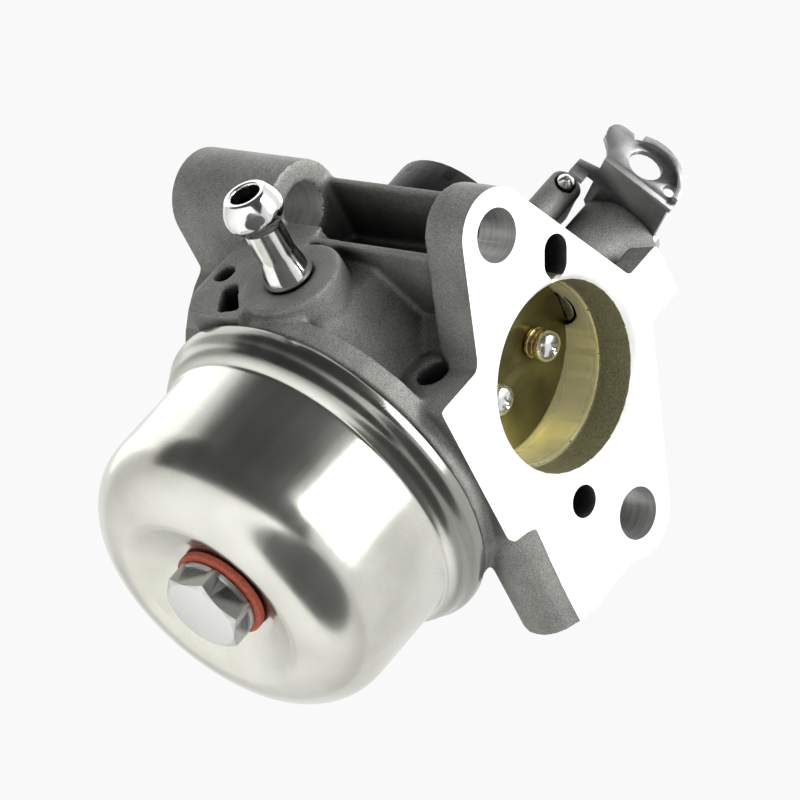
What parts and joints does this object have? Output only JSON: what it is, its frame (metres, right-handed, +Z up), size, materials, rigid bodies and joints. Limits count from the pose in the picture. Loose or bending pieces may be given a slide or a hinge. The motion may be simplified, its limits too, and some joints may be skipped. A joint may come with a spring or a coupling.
{
  "type": "float-bowl carburetor",
  "caption": "Side-draught float-bowl carburetor with round bowl, hose inlet, throttle and choke butterflies, levers and adjusting screws on a flanged cast body.",
  "frame": {"origin": "centre of the throttle bore on the engine flange face", "axes": "+X out of the engine flange along the bore; +Z up, away from the float bowl, along the throttle shaft; fuel inlet faces -Y"},
  "size_m": [0.0733, 0.0832, 0.1009],
  "materials": {
    "cast_body": "fine-grained die-cast aluminium, machined flange face",
    "brass_plate": "rolled brass sheet",
    "bright_steel": "zinc-plated turned steel",
    "lever_steel": "plated sheet steel, satin",
    "spring_steel": "drawn wire",
    "turned_brass": "turned, bright",
    "black_plastic": "moulded, semi-matte",
    "plated_steel": "zinc-plated deep-drawn steel, satin",
    "black_rubber": "moulded rubber",
    "red_fibre": "pressed fibre",
    "dark_steel": "zinc-plated steel with wear on the corners",
    "inlet_chrome": "bright plated",
    "float_foam": "closed-cell moulded foam"
  },
  "bodies": {
    "casting": {"body": "cast_body", "float_bowl": "plated_steel", "bowl_gasket": "black_rubber", "bowl_bolt_washer": "red_fibre", "bowl_bolt": "dark_steel", "fuel_inlet": "inlet_chrome", "float_pin": "bright_steel", "needle_seat": "turned_brass", "main_jet": "turned_brass", "main_nozzle": "turned_brass", "idle_speed_spring": "spring_steel", "mixture_spring": "spring_steel"},
    "throttle": {"throttle_plate": "brass_plate", "throttle_shaft": "bright_steel", "throttle_screw_upper": "bright_steel", "throttle_screw_lower": "bright_steel", "throttle_lever": "lever_steel"},
    "choke": {"choke_plate": "brass_plate", "choke_shaft": "bright_steel", "choke_screw_upper": "bright_steel", "choke_screw_lower": "bright_steel", "choke_lever": "black_plastic"},
    "float": {"float": "float_foam"},
    "inlet_needle": {"inlet_needle": "turned_brass"},
    "idle_speed_screw": {"idle_speed_screw": "bright_steel"},
    "mixture_screw": {"mixture_screw": "turned_brass"}
  },
  "joints": [
    {"name": "throttle", "type": "hinge", "parent": "casting", "child": "throttle", "pos_m": [-0.0138, 0, 0], "axis": [0, 0, 1], "range_deg": [0, 78]},
    {"name": "choke", "type": "hinge", "parent": "casting", "child": "choke", "pos_m": [-0.0478, 0, 0], "axis": [0, 0, 1], "range_deg": [-78, 0]},
    {"name": "float", "type": "hinge", "parent": "casting", "child": "float", "pos_m": [-0.0295, -0.0215, -0.0306], "axis": [1, 0, 0], "range_deg": [0, 8]},
    {"name": "inlet_needle", "type": "slide", "parent": "casting", "child": "inlet_needle", "axis": [0, 0, 1], "range_m": [0, 0.0006]},
    {"name": "idle_speed_screw", "type": "hinge", "parent": "casting", "child": "idle_speed_screw", "pos_m": [-0.02739, -0.00217, 0.0305], "axis": [0.7022, -0.712, 0], "range_deg": [-180, 180]},
    {"name": "mixture_screw", "type": "hinge", "parent": "casting", "child": "mixture_screw", "pos_m": [-0.022, 0.03, 0.0125], "axis": [0, 1, 0], "range_deg": [-180, 180]}
  ],
  "couplings": [
    {"joint": "inlet_needle", "follows": "float", "m_per_rad": 0.0042}
  ]
}
